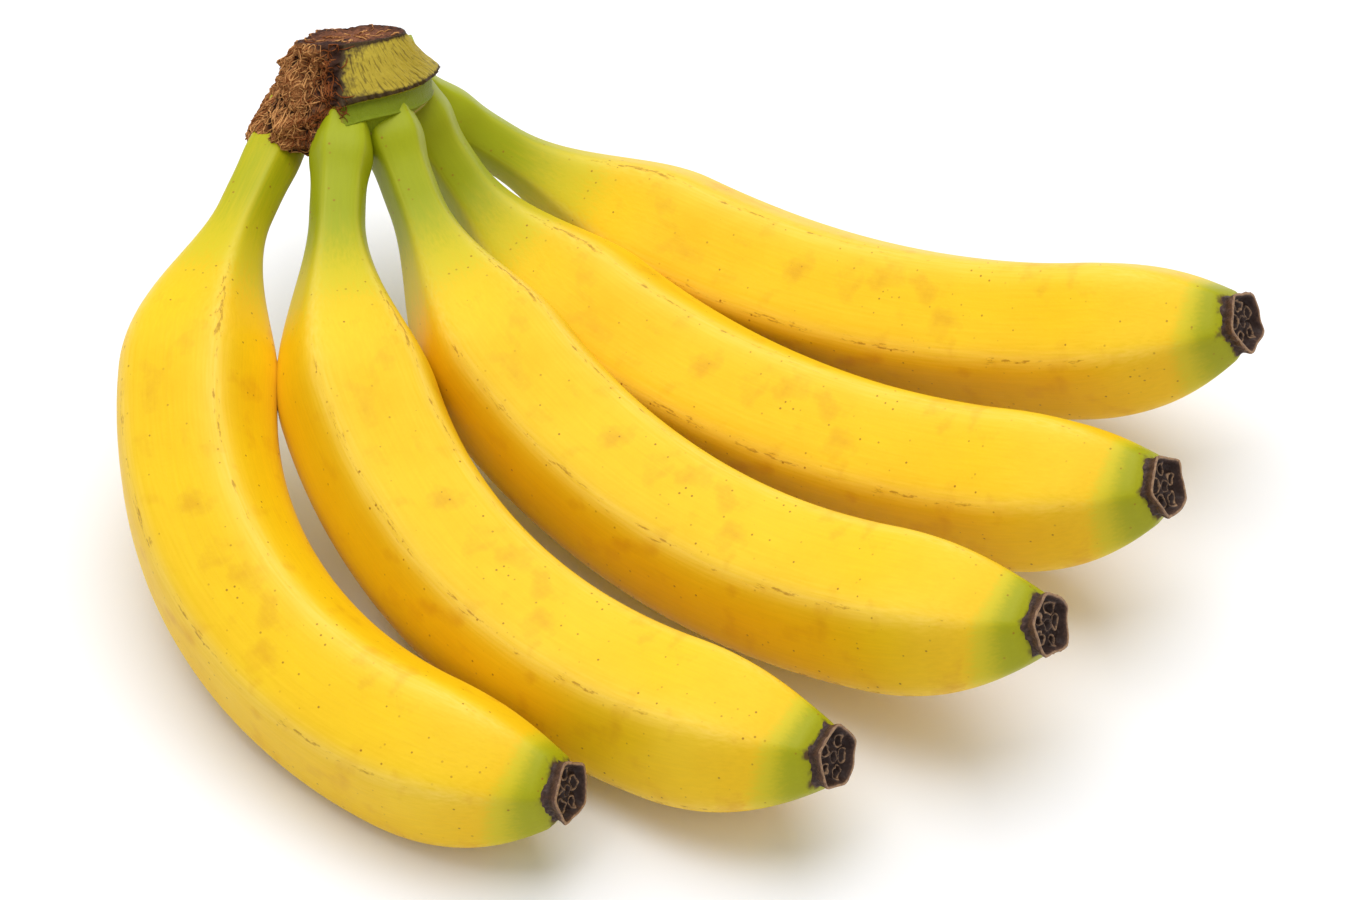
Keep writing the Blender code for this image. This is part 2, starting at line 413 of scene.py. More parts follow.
def piece_from(name, points, faces, values=None, vectors=None):
    """Smooth mesh object from points in millimetres, with its point attributes."""
    data = bpy.data.meshes.new(name)
    data.from_pydata([point * MM for point in points], [], faces)
    for key, numbers in (values or {}).items():
        data.attributes.new(key, "FLOAT", "POINT").data.foreach_set("value", numbers)
    for key, triples in (vectors or {}).items():
        flat = [number for triple in triples for number in triple]
        data.attributes.new(key, "FLOAT_VECTOR", "POINT").data.foreach_set("vector", flat)
    data.validate()
    data.shade_smooth()
    made = bpy.data.objects.new(name, data)
    bpy.context.scene.collection.objects.link(made)
    return made


def grid_faces(rings, sides):
    """Quads of a closed tube of rings, with its end polygons."""
    faces = []
    for r in range(rings - 1):
        for k in range(sides):
            after = (k + 1) % sides
            faces.append((r * sides + k, r * sides + after, (r + 1) * sides + after, (r + 1) * sides + k))
    faces.append(tuple(reversed(range(sides))))
    faces.append(tuple(range((rings - 1) * sides, rings * sides)))
    return faces


def add(tree, kind, inputs=None, **settings):
    """Add a node with its settings, its input values and its links, and return it."""
    made = tree.nodes.new("ShaderNode" + kind)
    for key, value in settings.items():
        setattr(made, key, value)
    for key, value in (inputs or {}).items():
        if isinstance(value, bpy.types.NodeSocket):
            tree.links.new(value, made.inputs[key])
        elif isinstance(value, tuple) and len(value) == 3 and made.inputs[key].type == "RGBA":
            made.inputs[key].default_value = (*value, 1.0)
        else:
            made.inputs[key].default_value = value
    return made


def mask(tree, name):
    """Socket with a mesh attribute's value."""
    return add(tree, "Attribute", attribute_name=name).outputs["Fac"]


def blend(tree, share, under, over):
    """Node that mixes two colours."""
    return add(tree, "Mix", {0: share, 6: under, 7: over}, data_type="RGBA")


def spread(tree, value, low, high, start, end, ease="LINEAR"):
    """Node that maps the range low to high onto start to end."""
    return add(tree, "MapRange", {0: value, 1: low, 2: high, 3: start, 4: end}, interpolation_type=ease)


def fresh_material(name):
    """Material with an empty node tree and its output."""
    material = bpy.data.materials.new(name)
    material.use_nodes = True
    material.node_tree.nodes.clear()
    return material, material.node_tree, material.node_tree.nodes.new("ShaderNodeOutputMaterial")


def skin_material(settings):
    """Banana peel, grown and hand picked: waxy satin skin with pores, brown rubbed dashes and painted
    highlights on the ridges, and green ends.
    """
    material, tree, output = fresh_material("banana_peel_waxy")
    straight = add(tree, "Attribute", attribute_name="straight").outputs["Vector"]
    neck = mask(tree, "neck")
    tip = mask(tree, "tip")
    ridge = mask(tree, "ridge")
    smudge = mask(tree, "smudge")

    # Broad patches, about 25 mm, where the yellow is a little deeper.
    patches = add(tree, "TexNoise", {"Vector": straight, "Scale": 40.0, "Detail": 6.0,
                                     "Roughness": 0.66})
    patch = spread(tree, patches.outputs[0], 0.4, 0.72, 0.0, 0.6)
    base = blend(tree, patch.outputs[0], tuple(settings.yellow), tuple(settings.deep_yellow))

    # Fibres under the skin: streaks 0.6 mm wide and about 12 mm long.
    grain = add(tree, "Mapping", {"Vector": straight, "Scale": (80.0, 1600.0, 1600.0)})
    streaks = add(tree, "TexNoise", {"Vector": grain.outputs[0], "Scale": 1.0, "Detail": 3.0})

    # Green ends, with the streaks carrying the change of colour along. At the tips the green is painted
    # further onto facets that face down, as shade.
    wander = add(tree, "Math", {0: streaks.outputs[0], 1: 0.34}, operation="MULTIPLY")
    ends = add(tree, "Math", {0: neck, 1: tip}, operation="MAXIMUM")
    both = add(tree, "Math", {0: ends.outputs[0], 1: wander.outputs[0]}, operation="ADD")
    to_lime = spread(tree, both.outputs[0], 0.24, 0.62, 0.0, 0.95, "SMOOTHSTEP")
    to_green = spread(tree, both.outputs[0], 0.55, 1.1, 0.0, 0.95, "SMOOTHSTEP")
    limed = blend(tree, to_lime.outputs[0], base.outputs[2], tuple(settings.lime))
    end_colour = blend(tree, tip, tuple(settings.green), tuple(settings.olive_tip))
    greened = blend(tree, to_green.outputs[0], limed.outputs[2], end_colour.outputs[2])

    # Painted highlight: the ridges are painted pale, broken up by the streaks.
    rubbed = add(tree, "Math", {0: ridge, 1: streaks.outputs[0]}, operation="MULTIPLY")
    ridge_highlight_share = add(tree, "Math", {0: rubbed.outputs[0], 1: 0.5}, operation="MULTIPLY")
    ridge_highlighted = blend(tree, ridge_highlight_share.outputs[0], greened.outputs[2], tuple(settings.pale))

    # Streak tone.
    tone = spread(tree, streaks.outputs[0], 0.25, 0.75, 0.96, 1.03)
    toned = add(tree, "Mix", {0: 1.0, 6: ridge_highlighted.outputs[2], 7: tone.outputs[0]},
                data_type="RGBA", blend_type="MULTIPLY")

    # Faint bruises, 5 to 10 mm.
    bruises = add(tree, "TexNoise", {"Vector": straight, "Scale": 110.0, "Detail": 5.0})
    bruise = spread(tree, bruises.outputs[0], 0.56, 0.74, 0.0, 0.4)
    ripe = add(tree, "Math", {0: bruise.outputs[0], 1: to_lime.outputs[0]},
               operation="SUBTRACT", use_clamp=True)
    bruised = blend(tree, ripe.outputs[0], toned.outputs[2], tuple(settings.bruise))

    # Pores, 0.4 to 0.7 mm across, which is larger than life so that they show.
    cells = add(tree, "TexVoronoi", {"Vector": straight, "Scale": 370.0})
    dots = spread(tree, cells.outputs["Distance"], 0.07, 0.13, 1.0, 0.0)
    parted = add(tree, "SeparateColor", {0: cells.outputs["Color"]})
    chosen = spread(tree, parted.outputs[0], 0.2, 0.8, 0.0, 0.8)
    pores = add(tree, "Math", {0: dots.outputs[0], 1: chosen.outputs[0]}, operation="MULTIPLY")
    pored = blend(tree, pores.outputs[0], bruised.outputs[2], tuple(settings.speck))

    # Rubbed brown dashes, about 0.8 by 3.3 mm, only on the ridges.
    dash_map = add(tree, "Mapping", {"Vector": straight, "Scale": (300.0, 1300.0, 1300.0)})
    dashes = add(tree, "TexNoise", {"Vector": dash_map.outputs[0], "Scale": 1.0, "Detail": 4.0,
                                    "Roughness": 0.6})
    dashed = add(tree, "Math", {0: dashes.outputs[0], 1: ridge}, operation="MULTIPLY")
    worn_here = spread(tree, patches.outputs[0], 0.45, 0.62, 0.7, 1.0)
    dash_here = add(tree, "Math", {0: dashed.outputs[0], 1: worn_here.outputs[0]},
                    operation="MULTIPLY")
    dash = spread(tree, dash_here.outputs[0], 0.44, 0.54, 0.0, 0.62)
    marked = blend(tree, dash.outputs[0], pored.outputs[2], tuple(settings.speck))

    # Dried sap round the flower end, broken up at 2 mm.
    blots = add(tree, "TexNoise", {"Vector": straight, "Scale": 450.0, "Detail": 4.0})
    blotted = add(tree, "Math", {0: smudge, 1: blots.outputs[0]}, operation="ADD")
    blot = spread(tree, blotted.outputs[0], 0.94, 1.3, 0.0, 0.94, "SMOOTHSTEP")
    sapped = blend(tree, blot.outputs[0], marked.outputs[2], tuple(settings.smudge))

    # Fine pitting of the wax, 0.7 mm, with the streaks and the pores pressed in.
    pits = add(tree, "TexNoise", {"Vector": straight, "Scale": 1400.0, "Detail": 2.0})
    height = add(tree, "Math", {0: pits.outputs[0], 1: streaks.outputs[0]}, operation="ADD")
    pressed = add(tree, "Math", {0: height.outputs[0], 1: pores.outputs[0]}, operation="SUBTRACT")
    relief = add(tree, "Bump", {"Height": pressed.outputs[0], "Strength": 0.25,
                                "Distance": 0.00012})
    gloss = spread(tree, patches.outputs[0], 0.3, 0.7, 0.4, 0.5)
    dry = add(tree, "Mix", {0: blot.outputs[0], 2: gloss.outputs[0], 3: 0.8})
    shader = add(tree, "BsdfPrincipled", {
        "Base Color": sapped.outputs[2], "Roughness": dry.outputs[0], "Normal": relief.outputs[0],
        "IOR": 1.45, "Specular IOR Level": 0.24})
    tree.links.new(shader.outputs[0], output.inputs[0])
    return material


def flower_material(settings):
    """Dried banana flower, shrivelled on the plant: dark brown tissue, painted near black in its hollows as
    shade, under papery tan edges.
    """
    material, tree, output = fresh_material("dried_flower_shrivelled")
    place = add(tree, "TexCoord").outputs["Object"]
    edge = mask(tree, "edge")
    recess_shade = mask(tree, "recess_shade")
    # Shrivelled skin, folds about 0.8 mm apart.
    folds = add(tree, "TexNoise", {"Vector": place, "Scale": 1250.0, "Detail": 5.0,
                                   "Roughness": 0.65})
    # Painted shade: darker where the face is sunken and at the waist of the side, with the folds mixed in
    # at random.
    depth = add(tree, "Math", {0: recess_shade, 1: folds.outputs[0]}, operation="ADD")
    dark = spread(tree, depth.outputs[0], 0.45, 1.1, 0.0, 1.0)
    base = blend(tree, dark.outputs[0], tuple(settings.brown), tuple(settings.dark))
    worn = add(tree, "Math", {0: edge, 1: folds.outputs[0]}, operation="MULTIPLY")
    rim = spread(tree, worn.outputs[0], 0.22, 0.5, 0.0, 0.9)
    rimmed = blend(tree, rim.outputs[0], base.outputs[2], tuple(settings.rim))
    relief = add(tree, "Bump", {"Height": folds.outputs[0], "Strength": 0.6, "Distance": 0.0003})
    rough = spread(tree, folds.outputs[0], 0.3, 0.7, 0.42, 0.75)
    shader = add(tree, "BsdfPrincipled", {
        "Base Color": rimmed.outputs[2], "Roughness": rough.outputs[0], "Normal": relief.outputs[0],
        "IOR": 1.5, "Specular IOR Level": 0.35})
    tree.links.new(shader.outputs[0], output.inputs[0])
    return material


def crown_material(settings):
    """Banana stalk, cut and torn and then dried: matt brown tissue, and wrinkled olive skin on one side."""
    material, tree, output = fresh_material("stalk_cut_and_torn")
    place = add(tree, "TexCoord").outputs["Object"]
    skin = mask(tree, "skin")
    edge = mask(tree, "edge")
    band = mask(tree, "band")
    scar = mask(tree, "scar")
    cut = mask(tree, "cut")
    recess_shade = mask(tree, "recess_shade")
    unrolled = add(tree, "Attribute", attribute_name="unrolled").outputs["Vector"]

    # Torn tissue: matting of about 1.1 mm over lumps of about 5 mm.
    twist = add(tree, "TexNoise", {"Vector": place, "Scale": 260.0, "Detail": 2.0})
    bent = add(tree, "Mix", {0: 0.012, 4: place, 5: twist.outputs[1]}, data_type="VECTOR")
    matted = add(tree, "TexNoise", {"Vector": bent.outputs[1], "Scale": 900.0, "Detail": 6.0,
                                    "Roughness": 0.7, "Distortion": 1.6})
    lumps = add(tree, "TexNoise", {"Vector": place, "Scale": 190.0, "Detail": 3.0})
    light = spread(tree, matted.outputs[0], 0.42, 0.72, 0.0, 0.9)
    torn = blend(tree, light.outputs[0], tuple(settings.torn), tuple(settings.torn_light))
    # Painted shade in the recesses of the lumps, with noise lumps of about 5 mm mixed in.
    low = add(tree, "Math", {0: recess_shade, 1: lumps.outputs[0]}, operation="ADD")
    shade = spread(tree, low.outputs[0], 0.5, 0.95, 0.0, 0.92)
    torn_shaded = blend(tree, shade.outputs[0], torn.outputs[2], tuple(settings.torn_shade))
    cut_mix = blend(tree, cut, torn_shaded.outputs[2], tuple(settings.cut))
    cut_grain = spread(tree, matted.outputs[0], 0.35, 0.7, 0.72, 1.2)
    cut_toned = add(tree, "Mix", {0: cut, 6: cut_mix.outputs[2], 7: cut_grain.outputs[0]},
                    data_type="RGBA", blend_type="MULTIPLY")

    # Stalk skin: wrinkles about 0.7 mm apart that run up and down, with painted shade in their creases.
    crease_map = add(tree, "Mapping", {"Vector": unrolled, "Scale": (1500.0, 190.0, 1.0)})
    creases = add(tree, "TexNoise", {"Vector": crease_map.outputs[0], "Scale": 1.0,
                                     "Detail": 4.0, "Distortion": 0.8})
    crease = spread(tree, creases.outputs[0], 0.34, 0.47, 0.85, 0.0)
    olive = blend(tree, crease.outputs[0], tuple(settings.olive), tuple(settings.olive_crease_shade))
    banded = blend(tree, band, olive.outputs[2], tuple(settings.band))
    skinned = blend(tree, skin, cut_toned.outputs[2], banded.outputs[2])

    # Dark edges, broken up at 1 mm: dried at the rim, the corner and the border of the skin, darker along
    # the torn foot, and painted shade on the torn side by the front corner; and the thin scar line over the
    # necks.
    nicks = add(tree, "TexNoise", {"Vector": place, "Scale": 900.0, "Detail": 4.0})
    ragged = add(tree, "Math", {0: edge, 1: nicks.outputs[0]}, operation="ADD")
    dried = spread(tree, ragged.outputs[0], 0.72, 1.15, 0.0, 0.93)
    edged = blend(tree, dried.outputs[0], skinned.outputs[2], tuple(settings.edge))
    scarred = blend(tree, scar, edged.outputs[2], tuple(settings.scar))
    fine = add(tree, "Math", {0: matted.outputs[0], 1: creases.outputs[0]}, operation="ADD")
    relief = add(tree, "Bump", {"Height": fine.outputs[0], "Strength": 0.55, "Distance": 0.0006})
    rough = add(tree, "Mix", {0: skin, 2: 0.88, 3: 0.55})
    shader = add(tree, "BsdfPrincipled", {
        "Base Color": scarred.outputs[2], "Roughness": rough.outputs[0], "Normal": relief.outputs[0],
        "IOR": 1.45, "Specular IOR Level": 0.25})
    tree.links.new(shader.outputs[0], output.inputs[0])
    return material


def fibre_material(settings):
    """Dried stalk fibre: thin woody strands, pale and dark at random, with painted shade darkening the
    strands near the front corner.
    """
    material, tree, output = fresh_material("stalk_fibre_dried")
    fibre_tone_and_shade = mask(tree, "fibre_tone_and_shade")
    place = add(tree, "TexCoord").outputs["Object"]
    # Bark-like flecks along a strand, about 0.5 mm.
    flecks = add(tree, "TexNoise", {"Vector": place, "Scale": 2000.0, "Detail": 2.0})
    mixed = add(tree, "Math", {0: fibre_tone_and_shade, 1: flecks.outputs[0]}, operation="MULTIPLY")
    share = spread(tree, mixed.outputs[0], 0.08, 0.45, 0.0, 1.0)
    base = blend(tree, share.outputs[0], tuple(settings.torn), tuple(settings.torn_light))
    relief = add(tree, "Bump", {"Height": flecks.outputs[0], "Strength": 0.3, "Distance": 0.0001})
    rough = spread(tree, flecks.outputs[0], 0.3, 0.7, 0.7, 0.9)
    shader = add(tree, "BsdfPrincipled", {
        "Base Color": base.outputs[2], "Roughness": rough.outputs[0], "Normal": relief.outputs[0],
        "IOR": 1.5, "Specular IOR Level": 0.2})
    tree.links.new(shader.outputs[0], output.inputs[0])
    return material


def paper_material(settings):
    """Matt white paper, rolled out: an even floor that only the shadows mark."""
    material, tree, output = fresh_material("matt_white_paper")
    place = add(tree, "TexCoord").outputs["Object"]
    # Paper tooth of about 1 mm.
    tooth = add(tree, "TexNoise", {"Vector": place, "Scale": 900.0, "Detail": 2.0})
    relief = add(tree, "Bump", {"Height": tooth.outputs[0], "Strength": 0.03, "Distance": 0.0001})
    rough = spread(tree, tooth.outputs[0], 0.3, 0.7, 0.9, 0.98)
    shader = add(tree, "BsdfPrincipled", {
        "Base Color": tuple(settings.floor), "Roughness": rough.outputs[0],
        "Normal": relief.outputs[0], "Specular IOR Level": 0.1})
    tree.links.new(shader.outputs[0], output.inputs[0])
    return material


def build_finger(settings, name, shape, material):
    """One finger with its knuckle, ridges and slight unevenness."""
    line = centre_line(shape)
    axes = frames(line)
    offset = node_offset(settings, name, shape)
    roll = math.radians(shape["roll"])
    total = shape["length"]
    seed = Vector((37.0 * int(name[-1]), 0.0, 0.0))
    points, straight = [], []
    masks = {"neck": [], "tip": [], "ridge": [], "smudge": []}
    for r in range(-NECK_RINGS, settings.rings):
        u = max(r, 0) / (settings.rings - 1)
        i = round(CURVE_STEPS * (u - RING_EASE * math.sin(math.tau * u)))
        distance = total * i / CURVE_STEPS
        from_tip = total - distance
        inside = axes[0][0] * (NECK_REACH * min(r, 0) / NECK_RINGS)
        radius = finger_radius(settings, distance, from_tip, shape["pinch"] * PINCH_KEPT)
        swelling = shape["knuckle"] * settings.knuckle / MM
        radius += swelling * bump_at(distance, KNUCKLE_PLACE, PINCH_LENGTH)
        radius -= 1.0 * smooth_step(1.0 - from_tip / 1.6)
        sharp = smooth_step(distance / 60.0) * smooth_step(from_tip / 22.0)
        crispness = settings.crispness * (0.45 + 0.55 * sharp)
        _, side, up = axes[i]
        for k in range(settings.sides):
            angle = math.tau * k / settings.sides
            way = Vector((distance / 55.0, 1.4 * math.cos(angle), 1.4 * math.sin(angle)))
            uneven = noise.noise(way + seed)
            turned = angle + 0.07 * noise.noise(Vector((distance / 80.0, 5.0, 2.0)) + seed)
            reach = radius * section(turned, settings.flat, settings.ridge, crispness)
            reach *= 1.0 + 0.012 * uneven
            point = around(line[i], side, up, reach, angle + roll)
            point += offset + inside
            point.z = max(point.z, 0.0)
            points.append(point)
            near = bump_at(ridge_offset(turned), 0.0, 0.10)
            wide = bump_at(ridge_offset(turned), 0.0, 0.26)
            neck = smooth_step(1.0 - (distance - NECK_GREEN_START) / NECK_GREEN_FADE)
            neck *= shape["neck_green"]
            # At the tip the green reaches further on facets that face down: painted shade.
            facing = side.z * math.cos(angle + roll) + up.z * math.sin(angle + roll)
            tip = smooth_step(1.0 - from_tip / (TIP_GREEN - TIP_GREEN_SHADE_REACH * facing))
            masks["neck"].append(neck)
            masks["tip"].append(tip)
            masks["ridge"].append((0.75 * near + 0.25 * wide) * sharp)
            sap = math.exp(-from_tip / 1.8) * 0.6 + wide * math.exp(-from_tip / 3.0) * 0.28
            masks["smudge"].append(sap)
            straight.append((distance * MM, reach * math.cos(angle) * MM, reach * math.sin(angle) * MM))
    made = piece_from("skin_" + name, points, grid_faces(settings.rings + NECK_RINGS, settings.sides),
                      masks, {"straight": straight})
    made.data.materials.append(material)
    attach(made, "root")
    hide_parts(name)


def flower_face(settings, flat, inward, ripple, seed):
    """Height, edge and painted recess shade of the sunken face at a place on it."""
    rim = settings.radius / MM
    lip = bump_at(inward, 0.03, 0.07)
    sunk = smooth_step((inward - 0.06) / 0.2)
    level = settings.height / MM + 0.5 * ripple * (1.0 - inward) - settings.depth / MM * sunk
    level += 0.4 * noise.noise(flat * 0.9 + seed) * sunk
    ring = 0.0
    for degrees, part, cell in CELLS:
        spot = direction(degrees + 25.0 * ripple, 0.0) * rim * part
        gap = (flat - spot).length
        ring = max(ring, bump_at(gap, cell, 0.3))
        level += 0.75 * bump_at(gap, cell, 0.36) - 0.7 * bump_at(gap, 0.0, cell * 0.6)
    ring = max(ring, 0.8 * bump_at(flat.length, MIDDLE_CELL, 0.26))
    level += 0.9 * bump_at(flat.length, MIDDLE_CELL, 0.5) - 0.5 * bump_at(flat.length, 0.0, 0.7)
    return level, max(lip, 0.85 * ring), 0.35 + 0.65 * sunk - 0.4 * ring


def build_flower_end(settings, skin, name, shape, material):
    """Dried flower end: lumpy side, papery rim and a sunken middle with ring cells."""
    line = centre_line(shape)
    along, side, up = frames(line)[-1]
    start = line[-1] + node_offset(skin, name, shape)
    roll = math.radians(shape["roll"])
    seed = Vector((11.0 * int(name[-1]), 3.0, 0.0))
    rim = settings.radius / MM
    height = settings.height / MM
    side_rings = settings.rings // 3
    points = []
    masks = {"edge": [], "recess_shade": []}
    for r in range(settings.rings):
        outside = r < side_rings
        climb = r / side_rings if outside else 1.0
        inward = 0.0 if outside else (r - side_rings) / (settings.rings - 1 - side_rings)
        for k in range(settings.sides):
            angle = math.tau * k / settings.sides
            ripple = noise.noise(Vector((1.6 * math.cos(angle), 1.6 * math.sin(angle), 0.0)) + seed)
            fine = noise.noise(Vector((6.0 * math.cos(angle), 6.0 * math.sin(angle), climb * 2.0)) + seed)
            outline = rim * section(angle, *FLOWER_SECTION) * (1.0 + 0.05 * ripple)
            if outside:
                reach = outline * (1.02 - 0.10 * bump_at(climb, 0.45, 0.3)) + 0.35 * fine
                level = -1.2 + (height + 1.2) * climb + 0.5 * ripple * climb
                edge = smooth_step((climb - 0.86) / 0.12)
                # Painted shade at the waist of the side.
                recess_shade = 0.25 + 0.3 * bump_at(climb, 0.4, 0.3)
            else:
                reach = outline * (1.0 - inward)
                flat = Vector((reach * math.cos(angle), reach * math.sin(angle), 0.0))
                level, edge, recess_shade = flower_face(settings, flat, inward, ripple, seed)
            points.append(around(start + along * level, side, up, reach, angle + roll))
            masks["edge"].append(edge)
            masks["recess_shade"].append(recess_shade)
    made = piece_from("flower_end_" + name, points, grid_faces(settings.rings, settings.sides), masks)
    made.data.materials.append(material)
    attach(made, "root")
    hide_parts(name + "_flower_end")


def crown_edge(degrees, rise, level, inward, limit, skin):
    """How dark the crown is: dried dark at its rim, its corner and the border of its skin, darker along the
    foot of its torn side, and painted shade on the torn side by the front corner.
    """
    on_side = inward == 0.0
    edge = 0.8 * bump_at(level, RIM_LEVEL, 0.03) * skin + 0.6 * bump_at(rise, 1.0, 0.035) * (1.0 - inward)
    corner = 0.7 * bump_at(degrees, limit, 5.0) + 0.3 * bump_at(degrees, limit - 8.0, 14.0)
    edge += corner * (smooth_step((level - 0.24) / 0.06) * on_side)
    border = 0.34 * bump_at(level, RIM_LEVEL, 0.1) * smooth_step((level - 0.27) / 0.03)
    edge += (border + 0.3 * bump_at(rise, 1.0, 0.14)) * skin * on_side
    # Darker along the bottom of the torn side; next to the front corner the torn side gets painted shade.
    foot = 0.45 * bump_at(rise, 0.0, 0.06) + 0.5 * bump_at(degrees, limit + 12.0, 14.0)
    return edge + foot * (1.0 - skin)


def crown_point(settings, degrees, rise, inward=0.0):
    """Point of the crown's surface, in millimetres from the middle of its box, and its masks.

    inward runs from 0 at the side to 1 at the middle of an end face."""
    degrees = (degrees + 180.0) % 360.0 - 180.0
    limit = along_table(SKIN_TO, rise)[0] + 3.0 * noise.noise(Vector((rise * 9.0, 2.0, 1.0)))
    skin = smooth_step((limit - degrees) / 5.0) * smooth_step((degrees - SKIN_FROM) / 8.0)
    level = max(rise - RIM_CLIMB * bump_at(degrees, limit, 48.0) * (1.0 - rise), 0.0)
    skin_length, skin_width = along_table(SKIN_SECTIONS, level)
    torn_length, torn_width = along_table(TORN_SECTIONS, rise)
    half_length = torn_length + (skin_length - torn_length) * skin
    half_width = torn_width + (skin_width - torn_width) * skin
    heading = along_table(CROWN_HEADINGS, rise)[0]
    long_axis = direction(heading, 0.0)
    short_axis = direction(heading - 90.0, CROWN_TILT)
    corner = 0.10 * bump_at(degrees, limit, CORNER_WIDTH) + 0.05 * bump_at(degrees, 20.0, 16.0) * rise
    corner += 0.07 * bump_at(degrees, 172.0, 18.0) + 0.07 * bump_at(degrees, -70.0, 22.0)
    angle = math.radians(degrees)
    out = long_axis * half_length * math.cos(angle) + short_axis * half_width * math.sin(angle)
    out *= (1.0 + corner * smooth_step(rise / 0.3)) * (1.0 - inward)
    centre = CROWN_BASE.lerp(CROWN_TOP, rise)
    place = centre + out
    lump = noise.fractal(place * LUMPS_PER_MM, 0.8, 2.2, 4)
    matted = noise.fractal(place * MATTING_PER_MM, 0.9, 2.0, 3)
    run = math.radians(degrees) * CROWN_GIRTH
    crease = noise.noise(Vector((run * 0.95, rise * 3.4, 1.0)))
    nick = noise.noise(Vector((run * 1.3, 7.0, 0.0)))
    normal = out.normalized() if out.length > 1e-6 else Vector((0, 0, 1))
    fade = 1.0 - smooth_step(inward * 6.0)
    rough = (lump * settings.lump / MM + 0.3 * matted) * (1.0 - skin)
    wrinkled = -abs(crease) * settings.wrinkle / MM * skin * smooth_step((level - 0.34) / 0.06)
    ragged = 1.1 * nick * bump_at(level, RIM_LEVEL, 0.035) * skin
    place += normal * (rough * (0.35 + 0.65 * smooth_step(rise / 0.1)) + wrinkled + ragged) * fade
    up = long_axis.cross(short_axis) * -1.0
    if inward > 0.0 and rise > 0.5:
        place += up * (0.45 * matted - 0.5 * smooth_step(inward * 2.0)) * smooth_step(inward * 8.0)
    sag = 2.6 * noise.noise(Vector((run * 0.16, 3.0, 4.0)))
    sag += 2.0 * noise.noise(Vector((run * 0.5, 1.0, 4.0))) - 0.9
    place += up * -sag * (1.0 - skin) * (1.0 - smooth_step(rise / 0.25))
    on_side = inward == 0.0
    values = {
        "skin": skin * on_side,
        "edge": crown_edge(degrees, rise, level, inward, limit, skin),
        "band": smooth_step((BAND_LEVEL - level) / 0.03) * skin,
        "scar": bump_at(rise, SCAR_LEVEL, 0.013) * skin * 0.8,
        "cut": 1.0 if rise > 0.5 and not on_side else 0.0,
        # painted shade in the recesses of the torn side's lumps
        "recess_shade": min(max(-lump * 1.2, 0.0), 1.0) * (1.0 - skin),
    }
    return place, normal, values, (run * MM, rise * 0.03, 0.0)


def crown_middle():
    """Middle of the crown's CAD box in millimetres."""
    low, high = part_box("crown")
    return (low + high) / 2.0 / MM


def build_crown(settings, material):
    """Crown body: torn side, skin side with its nicked edge, green band, scar line and cut face."""
    middle = crown_middle()
    rows = []
    for r in range(settings.cap_rings - 1, 0, -1):
        rows.append((0.0, r / settings.cap_rings))
    for r in range(settings.rings + 1):
        rows.append((r / settings.rings, 0.0))
    for r in range(1, settings.cap_rings):
        rows.append((1.0, r / settings.cap_rings))
    points, unrolled = [], []
    masks = {key: [] for key in ("skin", "edge", "band", "scar", "cut", "recess_shade")}
    for rise, inward in rows:
        for k in range(settings.sides):
            degrees = 360.0 * k / settings.sides
            place, _, values, flat = crown_point(settings, degrees, rise, inward)
            points.append(middle + place)
            unrolled.append(flat)
            for key, value in values.items():
                masks[key].append(value)
    made = piece_from("crown_stalk", points, grid_faces(len(rows), settings.sides), masks,
                      {"unrolled": unrolled})
    made.data.flip_normals()
    made.data.materials.append(material)
    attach(made, "root")
    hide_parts("crown")


def build_fibres(settings, material):
    """Curly loose fibres matted over the torn side and the cut face."""
    middle = crown_middle()
    draw = random.Random(FIBRE_SEED)
    points, faces, tints = [], [], []
    sides, steps = FIBRE_SIDES, FIBRE_STEPS
    for _ in range(settings.fibres):
        on_cut = draw.random() < CUT_SHARE
        if on_cut:
            degrees = draw.uniform(0.0, 360.0)
            rise = 1.0
            inward = draw.uniform(0.12, 0.9)
        else:
            rise = draw.uniform(0.03, 0.97)
            degrees = draw.uniform(along_table(SKIN_TO, rise)[0] + 1.0, 360.0 + SKIN_FROM - 6.0)
            inward = 0.0
        heading = draw.uniform(0.0, math.tau)
        curl = draw.uniform(-1.0, 1.0)
        stride = draw.uniform(0.45, 1.0)
        thick = settings.fibre_radius / MM * draw.uniform(0.55, 1.2)
        lift = draw.uniform(0.0, 0.16)
        fibre_tone_and_shade = draw.uniform(0.1, 1.0)
        # Painted shade: strands on the torn side near the front corner are darker.
        if not on_cut:
            fibre_tone_and_shade *= smooth_step((degrees - along_table(SKIN_TO, rise)[0] + 4.0) / 42.0)
        path = []
        for s in range(steps):
            place, normal, _, _ = crown_point(settings, degrees, rise, inward)
            if on_cut:
                normal = (CROWN_TOP - CROWN_BASE).normalized()
            path.append(middle + place + normal * (lift + 0.2 * math.sin(math.pi * s / (steps - 1))))
            heading += curl * 0.5
            degrees += stride * math.cos(heading) * 2.4
            if on_cut:
                inward = min(max(inward + stride * math.sin(heading) * 0.07, 0.05), 0.95)
            else:
                rise = min(max(rise + stride * math.sin(heading) * 0.035, 0.0), 1.0)
        first = len(points)
        for s, spot in enumerate(path):
            way = (path[min(s + 1, steps - 1)] - path[max(s - 1, 0)]).normalized()
            across = way.orthogonal().normalized()
            over = way.cross(across)
            width = thick * (0.25 + 0.75 * math.sin(math.pi * (s + 0.5) / steps))
            for k in range(sides):
                angle = math.tau * k / sides
                points.append(spot + (across * math.cos(angle) + over * math.sin(angle)) * width)
                tints.append(fibre_tone_and_shade)
        for face in grid_faces(steps, sides):
            faces.append(tuple(first + corner for corner in face))
    made = piece_from("crown_fibres", points, faces, {"fibre_tone_and_shade": tints})
    made.data.materials.append(material)
    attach(made, "root")


